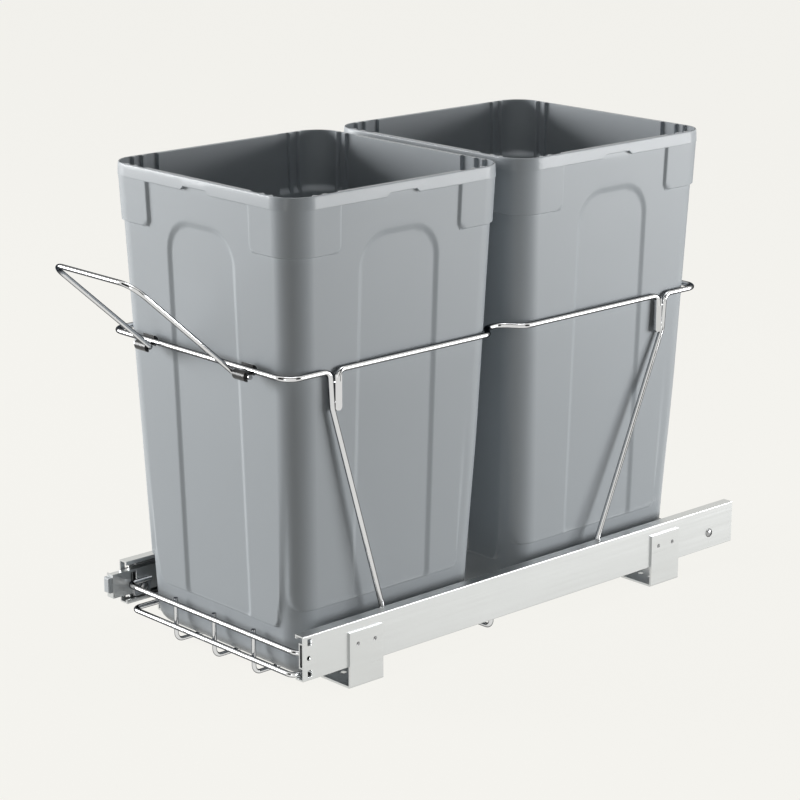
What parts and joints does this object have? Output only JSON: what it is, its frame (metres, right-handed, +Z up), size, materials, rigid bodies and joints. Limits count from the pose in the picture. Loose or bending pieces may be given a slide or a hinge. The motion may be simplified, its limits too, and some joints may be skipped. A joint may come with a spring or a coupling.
{
  "type": "pull-out waste bin unit",
  "caption": "Pull-out kitchen waste unit: lift-out grey bins in a chrome wire carriage with a bail handle, on full-extension ball-bearing slides with floor brackets.",
  "frame": {"origin": "centre of the feet's inner floor screw holes, in the plane of the feet's undersides", "axes": "+Z up, -Y towards the front and the handle, +X to the right as seen from behind the handle; the slides pull towards -Y"},
  "size_m": [0.2738, 0.68, 0.4372],
  "materials": {
    "slide_steel": "zinc plated, satin",
    "foot_steel": "zinc plated, satin",
    "cage_steel": "satin",
    "ball_steel": "polished",
    "rivet_steel": "bright",
    "wire_chrome": "polished",
    "clip_plastic": "semi-matt",
    "bumper_plastic": "matt",
    "stop_rubber": "matt",
    "bin_plastic": "semi-gloss moulded"
  },
  "bodies": {
    "base": {"outer_rail_right": "slide_steel", "outer_rail_left": "slide_steel", "front_foot_right": "foot_steel", "front_foot_left": "foot_steel", "rear_foot_right": "foot_steel", "rear_foot_left": "foot_steel", "foot_rivets": "rivet_steel", "rear_stops": "stop_rubber", "rear_stop_rivets": "rivet_steel"},
    "carriage": {"inner_member_right": "slide_steel", "inner_member_left": "slide_steel", "front_bumper": "bumper_plastic", "front_hoop": "wire_chrome", "rear_hoop": "wire_chrome", "side_wire_right": "wire_chrome", "side_wire_left": "wire_chrome", "upper_front_wire": "wire_chrome", "upper_rear_wire": "wire_chrome", "lower_ring": "wire_chrome", "floor_wire_left": "wire_chrome", "floor_wire_middle": "wire_chrome", "floor_wire_right": "wire_chrome", "middle_cross_wire": "wire_chrome", "frame_screws": "rivet_steel", "handle_clip_right": "clip_plastic", "handle_clip_left": "clip_plastic"},
    "handle": {"handle": "wire_chrome"},
    "front_bin": {"front_bin": "bin_plastic"},
    "rear_bin": {"rear_bin": "bin_plastic"},
    "middle_member_right": {"middle_member_right": "slide_steel"},
    "outer_cage_right": {"outer_ball_cage_right": "cage_steel", "outer_balls_right": "ball_steel"},
    "inner_cage_right": {"inner_ball_cage_right": "cage_steel", "inner_balls_right": "ball_steel"},
    "middle_member_left": {"middle_member_left": "slide_steel"},
    "outer_cage_left": {"outer_ball_cage_left": "cage_steel", "outer_balls_left": "ball_steel"},
    "inner_cage_left": {"inner_ball_cage_left": "cage_steel", "inner_balls_left": "ball_steel"}
  },
  "joints": [
    {"name": "pull", "type": "slide", "parent": "base", "child": "carriage", "axis": [0, -1, 0], "range_m": [0, 0.52]},
    {"name": "middle_member_right_run", "type": "slide", "parent": "base", "child": "middle_member_right", "axis": [0, -1, 0], "range_m": [0, 0.26]},
    {"name": "outer_cage_right_run", "type": "slide", "parent": "base", "child": "outer_cage_right", "axis": [0, -1, 0], "range_m": [0, 0.13]},
    {"name": "inner_cage_right_run", "type": "slide", "parent": "base", "child": "inner_cage_right", "axis": [0, -1, 0], "range_m": [0, 0.39]},
    {"name": "middle_member_left_run", "type": "slide", "parent": "base", "child": "middle_member_left", "axis": [0, -1, 0], "range_m": [0, 0.26]},
    {"name": "outer_cage_left_run", "type": "slide", "parent": "base", "child": "outer_cage_left", "axis": [0, -1, 0], "range_m": [0, 0.13]},
    {"name": "inner_cage_left_run", "type": "slide", "parent": "base", "child": "inner_cage_left", "axis": [0, -1, 0], "range_m": [0, 0.39]},
    {"name": "handle_turn", "type": "hinge", "parent": "carriage", "child": "handle", "pos_m": [0, -0.273, 0.2802], "axis": [-1, 0, 0], "range_deg": [-130, 46]},
    {"name": "front_bin_lift", "type": "slide", "parent": "carriage", "child": "front_bin", "axis": [0, 0, 1], "range_m": [0, 0.3]},
    {"name": "rear_bin_lift", "type": "slide", "parent": "carriage", "child": "rear_bin", "axis": [0, 0, 1], "range_m": [0, 0.3]}
  ],
  "couplings": [
    {"joint": "middle_member_right_run", "follows": "pull", "ratio": 0.5},
    {"joint": "outer_cage_right_run", "follows": "pull", "ratio": 0.25},
    {"joint": "inner_cage_right_run", "follows": "pull", "ratio": 0.75},
    {"joint": "middle_member_left_run", "follows": "pull", "ratio": 0.5},
    {"joint": "outer_cage_left_run", "follows": "pull", "ratio": 0.25},
    {"joint": "inner_cage_left_run", "follows": "pull", "ratio": 0.75}
  ]
}
